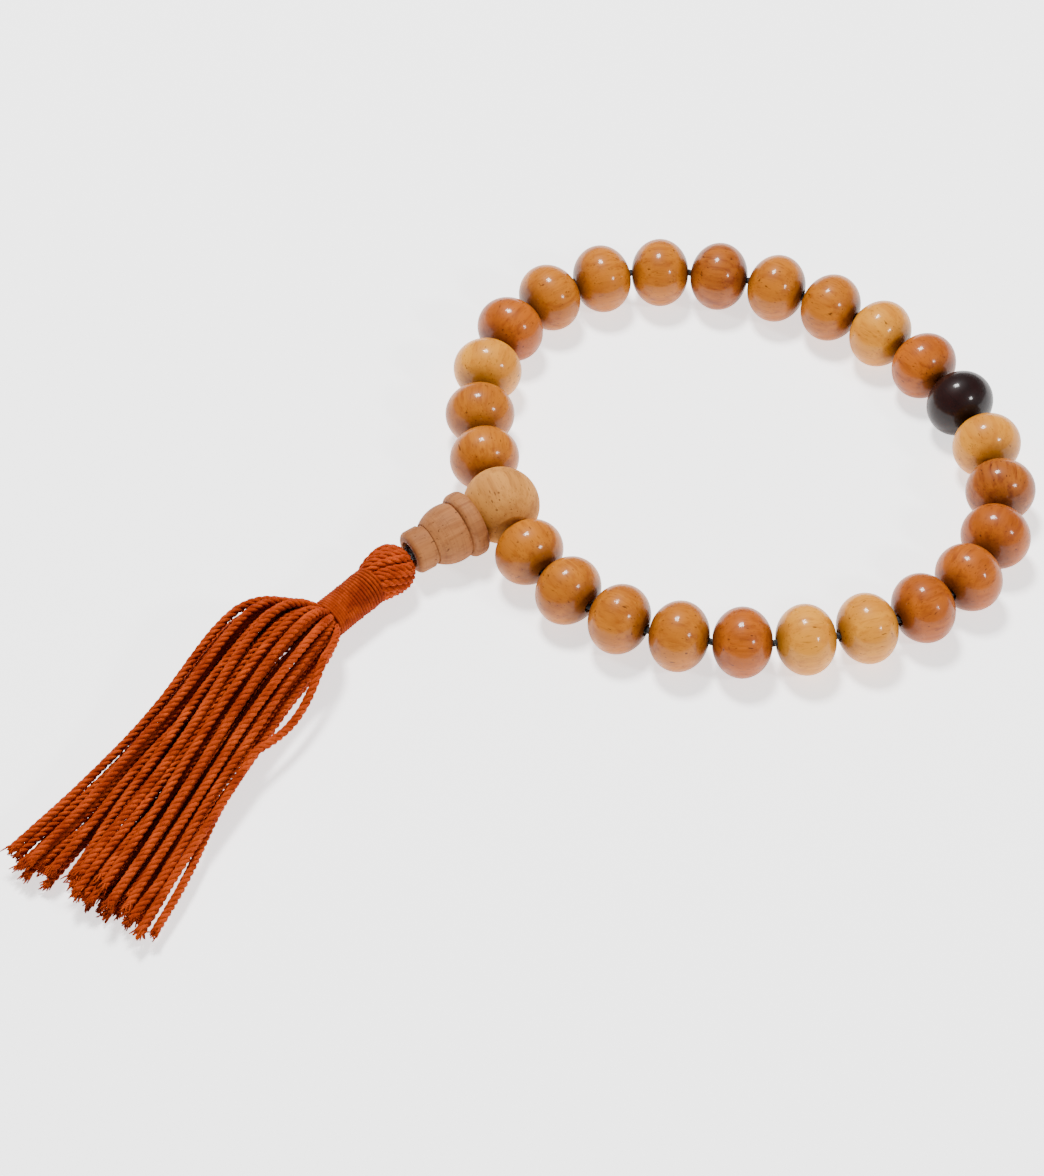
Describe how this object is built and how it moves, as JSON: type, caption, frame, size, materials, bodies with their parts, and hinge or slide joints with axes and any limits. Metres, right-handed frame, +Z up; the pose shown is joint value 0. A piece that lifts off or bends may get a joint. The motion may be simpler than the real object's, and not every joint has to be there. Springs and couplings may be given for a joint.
{
  "type": "mala prayer beads",
  "caption": "Wrist mala of lacquered wooden beads on a black cord, with a dark marker bead, a guru bead, a turned finial and a rust yarn tassel.",
  "frame": {"origin": "under the middle of the whole object, on the surface that it lies on", "axes": "+Z up; +X from the guru bead into the loop, along the tassel-and-loop length; +Y along the guru bead's side bore"},
  "size_m": [0.1324, 0.0809, 0.0093],
  "materials": {
    "bead_wood": "gloss lacquer",
    "marker_wood": "gloss lacquer",
    "guru_wood": "bare, fine grained",
    "finial_wood": "bare, turned",
    "cord": "braided",
    "yarn": "plied, matte"
  },
  "bodies": {
    "guru": {"guru_bead": "guru_wood", "cord_guru": "cord"},
    "link_01": {"cord_01": "cord"},
    "spin_01": {"bead_01": "bead_wood"},
    "link_02": {"cord_02": "cord"},
    "spin_02": {"bead_02": "bead_wood"},
    "link_03": {"cord_03": "cord"},
    "spin_03": {"bead_03": "bead_wood"},
    "link_04": {"cord_04": "cord"},
    "spin_04": {"bead_04": "bead_wood"},
    "link_05": {"cord_05": "cord"},
    "spin_05": {"bead_05": "bead_wood"},
    "link_06": {"cord_06": "cord"},
    "spin_06": {"bead_06": "bead_wood"},
    "link_07": {"cord_07": "cord"},
    "spin_07": {"bead_07": "bead_wood"},
    "link_08": {"cord_08": "cord"},
    "spin_08": {"bead_08": "bead_wood"},
    "link_09": {"cord_09": "cord"},
    "spin_09": {"bead_09": "bead_wood"},
    "link_10": {"cord_10": "cord"},
    "spin_10": {"bead_10": "bead_wood"},
    "link_11": {"cord_11": "cord"},
    "spin_11": {"bead_11": "bead_wood"},
    "link_12": {"cord_12": "cord"},
    "spin_12": {"bead_12": "bead_wood"},
    "link_13": {"cord_13": "cord"},
    "spin_marker": {"marker_bead": "marker_wood"},
    "link_14": {"cord_14": "cord"},
    "spin_14": {"bead_14": "bead_wood"},
    "link_15": {"cord_15": "cord"},
    "spin_15": {"bead_15": "bead_wood"},
    "link_16": {"cord_16": "cord"},
    "spin_16": {"bead_16": "bead_wood"},
    "link_17": {"cord_17": "cord"},
    "spin_17": {"bead_17": "bead_wood"},
    "link_18": {"cord_18": "cord"},
    "spin_18": {"bead_18": "bead_wood"},
    "link_19": {"cord_19": "cord"},
    "spin_19": {"bead_19": "bead_wood"},
    "link_20": {"cord_20": "cord"},
    "spin_20": {"bead_20": "bead_wood"},
    "link_21": {"cord_21": "cord"},
    "spin_21": {"bead_21": "bead_wood"},
    "link_22": {"cord_22": "cord"},
    "spin_22": {"bead_22": "bead_wood"},
    "link_23": {"cord_23": "cord"},
    "spin_23": {"bead_23": "bead_wood"},
    "link_24": {"cord_24": "cord"},
    "spin_24": {"bead_24": "bead_wood"},
    "link_25": {"cord_25": "cord"},
    "spin_25": {"bead_25": "bead_wood"},
    "finial_turn": {"cord_turn": "cord"},
    "finial_cord": {"cord_drop": "cord"},
    "finial": {"finial_bead": "finial_wood"},
    "tassel_knot": {"cord_knot": "cord"},
    "tassel": {"cord_loop": "cord", "tassel_head": "yarn", "tassel_binding": "yarn"},
    "skirt": {"tassel_skirt": "yarn"}
  },
  "joints": [
    {"name": "flex_01", "type": "hinge", "parent": "guru", "child": "link_01", "pos_m": [0.00341, 0.00937, 0.00465], "axis": [0, 0, 1], "range_deg": [-10.91, 3.25]},
    {"name": "flex_02", "type": "hinge", "parent": "link_01", "child": "link_02", "pos_m": [0.0047, 0.01675, 0.00425], "axis": [0, 0, 1], "range_deg": [-8.44, 1.1]},
    {"name": "flex_03", "type": "hinge", "parent": "link_02", "child": "link_03", "pos_m": [0.00728, 0.02379, 0.00425], "axis": [0, 0, 1], "range_deg": [-4.43, 1.58]},
    {"name": "flex_04", "type": "hinge", "parent": "link_03", "child": "link_04", "pos_m": [0.01133, 0.0301, 0.00425], "axis": [0, 0, 1], "range_deg": [-2.23, 6.95]},
    {"name": "flex_05", "type": "hinge", "parent": "link_04", "child": "link_05", "pos_m": [0.01713, 0.03486, 0.00425], "axis": [0, 0, 1], "range_deg": [-4.05, 14.05]},
    {"name": "flex_06", "type": "hinge", "parent": "link_05", "child": "link_06", "pos_m": [0.02429, 0.03708, 0.00425], "axis": [0, 0, 1], "range_deg": [-3.17, 10.6]},
    {"name": "flex_07", "type": "hinge", "parent": "link_06", "child": "link_07", "pos_m": [0.03178, 0.03663, 0.00425], "axis": [0, 0, 1], "range_deg": [-1.16, 2.79]},
    {"name": "flex_08", "type": "hinge", "parent": "link_07", "child": "link_08", "pos_m": [0.03888, 0.03421, 0.00425], "axis": [0, 0, 1], "range_deg": [-4.88, 1.7]},
    {"name": "flex_09", "type": "hinge", "parent": "link_08", "child": "link_09", "pos_m": [0.04534, 0.0304, 0.00425], "axis": [0, 0, 1], "range_deg": [-5.41, 1.84]},
    {"name": "flex_10", "type": "hinge", "parent": "link_09", "child": "link_10", "pos_m": [0.051, 0.02548, 0.00425], "axis": [0, 0, 1], "range_deg": [-4.55, 1.61]},
    {"name": "flex_11", "type": "hinge", "parent": "link_10", "child": "link_11", "pos_m": [0.05569, 0.01963, 0.00425], "axis": [0, 0, 1], "range_deg": [-4.17, 1.52]},
    {"name": "flex_12", "type": "hinge", "parent": "link_11", "child": "link_12", "pos_m": [0.05927, 0.01304, 0.00425], "axis": [0, 0, 1], "range_deg": [-4.62, 1.63]},
    {"name": "flex_13", "type": "hinge", "parent": "link_12", "child": "link_13", "pos_m": [0.06164, 0.00592, 0.00425], "axis": [0, 0, 1], "range_deg": [-5.15, 1.77]},
    {"name": "flex_25", "type": "hinge", "parent": "guru", "child": "link_25", "pos_m": [0.00341, 0.00081, 0.00465], "axis": [0, 0, 1], "range_deg": [-1.9, 5.65]},
    {"name": "flex_24", "type": "hinge", "parent": "link_25", "child": "link_24", "pos_m": [0.0049, -0.00653, 0.00425], "axis": [0, 0, 1], "range_deg": [-7.07, 2.26]},
    {"name": "flex_23", "type": "hinge", "parent": "link_24", "child": "link_23", "pos_m": [0.0082, -0.01326, 0.00425], "axis": [0, 0, 1], "range_deg": [-11.73, 3.45]},
    {"name": "flex_22", "type": "hinge", "parent": "link_23", "child": "link_22", "pos_m": [0.01326, -0.01879, 0.00425], "axis": [0, 0, 1], "range_deg": [-6.7, 2.16]},
    {"name": "flex_21", "type": "hinge", "parent": "link_22", "child": "link_21", "pos_m": [0.01957, -0.02284, 0.00425], "axis": [0, 0, 1], "range_deg": [-1.63, 4.63]},
    {"name": "flex_20", "type": "hinge", "parent": "link_21", "child": "link_20", "pos_m": [0.02657, -0.02554, 0.00425], "axis": [0, 0, 1], "range_deg": [-3.29, 11.1]},
    {"name": "flex_19", "type": "hinge", "parent": "link_20", "child": "link_19", "pos_m": [0.03393, -0.02701, 0.00425], "axis": [0, 0, 1], "range_deg": [-3.24, 10.88]},
    {"name": "flex_18", "type": "hinge", "parent": "link_19", "child": "link_18", "pos_m": [0.04142, -0.02719, 0.00425], "axis": [0, 0, 1], "range_deg": [-1.55, 4.29]},
    {"name": "flex_17", "type": "hinge", "parent": "link_18", "child": "link_17", "pos_m": [0.04878, -0.02571, 0.00425], "axis": [0, 0, 1], "range_deg": [-7.62, 2.4]},
    {"name": "flex_16", "type": "hinge", "parent": "link_17", "child": "link_16", "pos_m": [0.0553, -0.02201, 0.00425], "axis": [0, 0, 1], "range_deg": [-14.29, 4.11]},
    {"name": "flex_15", "type": "hinge", "parent": "link_16", "child": "link_15", "pos_m": [0.05994, -0.01612, 0.00425], "axis": [0, 0, 1], "range_deg": [-9.99, 3.01]},
    {"name": "flex_14", "type": "hinge", "parent": "link_15", "child": "link_14", "pos_m": [0.06227, -0.00899, 0.00425], "axis": [0, 0, 1], "range_deg": [-2.79, 1.16]},
    {"name": "bead_01_spin", "type": "hinge", "parent": "link_01", "child": "spin_01", "pos_m": [0.00406, 0.01306, 0.00445], "axis": [0.1722, 0.9836, -0.0533], "continuous": true},
    {"name": "bead_02_spin", "type": "hinge", "parent": "link_02", "child": "spin_02", "pos_m": [0.00599, 0.02027, 0.00425], "axis": [0.3435, 0.9391, 0], "continuous": true},
    {"name": "bead_03_spin", "type": "hinge", "parent": "link_03", "child": "spin_03", "pos_m": [0.00931, 0.02695, 0.00425], "axis": [0.5409, 0.8411, 0], "continuous": true},
    {"name": "bead_04_spin", "type": "hinge", "parent": "link_04", "child": "spin_04", "pos_m": [0.01423, 0.03248, 0.00425], "axis": [0.7727, 0.6348, 0], "continuous": true},
    {"name": "bead_05_spin", "type": "hinge", "parent": "link_05", "child": "spin_05", "pos_m": [0.02071, 0.03597, 0.00425], "axis": [0.9552, 0.296, 0], "continuous": true},
    {"name": "bead_06_spin", "type": "hinge", "parent": "link_06", "child": "spin_06", "pos_m": [0.02804, 0.03686, 0.00425], "axis": [0.9982, -0.0602, 0], "continuous": true},
    {"name": "bead_07_spin", "type": "hinge", "parent": "link_07", "child": "spin_07", "pos_m": [0.03533, 0.03542, 0.00425], "axis": [0.9464, -0.323, 0], "continuous": true},
    {"name": "bead_08_spin", "type": "hinge", "parent": "link_08", "child": "spin_08", "pos_m": [0.04211, 0.0323, 0.00425], "axis": [0.8613, -0.5081, 0], "continuous": true},
    {"name": "bead_09_spin", "type": "hinge", "parent": "link_09", "child": "spin_09", "pos_m": [0.04817, 0.02794, 0.00425], "axis": [0.7546, -0.6562, 0], "continuous": true},
    {"name": "bead_10_spin", "type": "hinge", "parent": "link_10", "child": "spin_10", "pos_m": [0.05334, 0.02255, 0.00425], "axis": [0.6258, -0.78, 0], "continuous": true},
    {"name": "bead_11_spin", "type": "hinge", "parent": "link_11", "child": "spin_11", "pos_m": [0.05748, 0.01633, 0.00425], "axis": [0.4777, -0.8785, 0], "continuous": true},
    {"name": "bead_12_spin", "type": "hinge", "parent": "link_12", "child": "spin_12", "pos_m": [0.06046, 0.00948, 0.00425], "axis": [0.3152, -0.949, 0], "continuous": true},
    {"name": "marker_spin", "type": "hinge", "parent": "link_13", "child": "spin_marker", "pos_m": [0.06216, 0.00221, 0.00425], "axis": [0.1406, -0.9901, 0], "continuous": true},
    {"name": "bead_14_spin", "type": "hinge", "parent": "link_14", "child": "spin_14", "pos_m": [0.06248, -0.00525, 0.00425], "axis": [-0.0565, -0.9984, 0], "continuous": true},
    {"name": "bead_15_spin", "type": "hinge", "parent": "link_15", "child": "spin_15", "pos_m": [0.06111, -0.01256, 0.00425], "axis": [-0.3098, -0.9508, 0], "continuous": true},
    {"name": "bead_16_spin", "type": "hinge", "parent": "link_16", "child": "spin_16", "pos_m": [0.05762, -0.01907, 0.00425], "axis": [-0.619, -0.7854, 0], "continuous": true},
    {"name": "bead_17_spin", "type": "hinge", "parent": "link_17", "child": "spin_17", "pos_m": [0.05204, -0.02386, 0.00425], "axis": [-0.87, -0.493, 0], "continuous": true},
    {"name": "bead_18_spin", "type": "hinge", "parent": "link_18", "child": "spin_18", "pos_m": [0.0451, -0.02645, 0.00425], "axis": [-0.9804, -0.197, 0], "continuous": true},
    {"name": "bead_19_spin", "type": "hinge", "parent": "link_19", "child": "spin_19", "pos_m": [0.03768, -0.0271, 0.00425], "axis": [-0.9997, 0.0236, 0], "continuous": true},
    {"name": "bead_20_spin", "type": "hinge", "parent": "link_20", "child": "spin_20", "pos_m": [0.03025, -0.02628, 0.00425], "axis": [-0.9806, 0.1961, 0], "continuous": true},
    {"name": "bead_21_spin", "type": "hinge", "parent": "link_21", "child": "spin_21", "pos_m": [0.02307, -0.02419, 0.00425], "axis": [-0.9331, 0.3596, 0], "continuous": true},
    {"name": "bead_22_spin", "type": "hinge", "parent": "link_22", "child": "spin_22", "pos_m": [0.01642, -0.02082, 0.00425], "axis": [-0.8416, 0.5401, 0], "continuous": true},
    {"name": "bead_23_spin", "type": "hinge", "parent": "link_23", "child": "spin_23", "pos_m": [0.01073, -0.01603, 0.00425], "axis": [-0.6755, 0.7373, 0], "continuous": true},
    {"name": "bead_24_spin", "type": "hinge", "parent": "link_24", "child": "spin_24", "pos_m": [0.00655, -0.00989, 0.00425], "axis": [-0.4391, 0.8985, 0], "continuous": true},
    {"name": "bead_25_spin", "type": "hinge", "parent": "link_25", "child": "spin_25", "pos_m": [0.00416, -0.00286, 0.00445], "axis": [-0.199, 0.9785, 0.0533], "continuous": true},
    {"name": "finial_yaw", "type": "hinge", "parent": "guru", "child": "finial_turn", "pos_m": [0.00341, 0.00509, 0.00465], "axis": [0, 0, 1], "range_deg": [-14, 1]},
    {"name": "finial_tilt", "type": "hinge", "parent": "finial_turn", "child": "finial_cord", "pos_m": [0.00341, 0.00509, 0.00465], "axis": [-0.2351, 0.972, 0], "range_deg": [-5, 12]},
    {"name": "finial_spin", "type": "hinge", "parent": "finial_cord", "child": "finial", "pos_m": [-0.00435, 0.00322, 0.00416], "axis": [-0.9701, -0.2347, -0.061], "continuous": true},
    {"name": "tassel_yaw", "type": "hinge", "parent": "finial_cord", "child": "tassel_knot", "pos_m": [-0.00935, 0.00201, 0.00385], "axis": [0, 0, 1], "range_deg": [-29, 3]},
    {"name": "tassel_tilt", "type": "hinge", "parent": "tassel_knot", "child": "tassel", "pos_m": [-0.00935, 0.00201, 0.00385], "axis": [-0.4602, 0.8878, 0], "range_deg": [-8, 15]},
    {"name": "skirt_yaw", "type": "hinge", "parent": "tassel", "child": "skirt", "pos_m": [-0.02409, -0.00563, 0.00385], "axis": [0, 0, 1], "range_deg": [-20, 8]}
  ],
  "couplings": [
    {"joint": "flex_01", "follows": "flex_02", "ratio": 1.0453},
    {"joint": "flex_03", "follows": "flex_02", "ratio": 0.38803},
    {"joint": "flex_04", "follows": "flex_02", "ratio": -0.64327},
    {"joint": "flex_05", "follows": "flex_02", "ratio": -1.3631},
    {"joint": "flex_06", "follows": "flex_02", "ratio": -1.0135},
    {"joint": "flex_07", "follows": "flex_02", "ratio": -0.22193},
    {"joint": "flex_08", "follows": "flex_02", "ratio": 0.43385},
    {"joint": "flex_09", "follows": "flex_02", "ratio": 0.48798},
    {"joint": "flex_10", "follows": "flex_02", "ratio": 0.40015},
    {"joint": "flex_11", "follows": "flex_02", "ratio": 0.36172},
    {"joint": "flex_12", "follows": "flex_02", "ratio": 0.40701},
    {"joint": "flex_13", "follows": "flex_02", "ratio": 0.46115},
    {"joint": "flex_25", "follows": "flex_02", "ratio": -0.51215},
    {"joint": "flex_24", "follows": "flex_02", "ratio": 0.65607},
    {"joint": "flex_23", "follows": "flex_02", "ratio": 1.128},
    {"joint": "flex_22", "follows": "flex_02", "ratio": 0.61832},
    {"joint": "flex_21", "follows": "flex_02", "ratio": -0.40874},
    {"joint": "flex_20", "follows": "flex_02", "ratio": -1.0643},
    {"joint": "flex_19", "follows": "flex_02", "ratio": -1.0419},
    {"joint": "flex_18", "follows": "flex_02", "ratio": -0.37437},
    {"joint": "flex_17", "follows": "flex_02", "ratio": 0.71171},
    {"joint": "flex_16", "follows": "flex_02", "ratio": 1.3875},
    {"joint": "flex_15", "follows": "flex_02", "ratio": 0.95185},
    {"joint": "flex_14", "follows": "flex_02", "ratio": 0.22189}
  ]
}
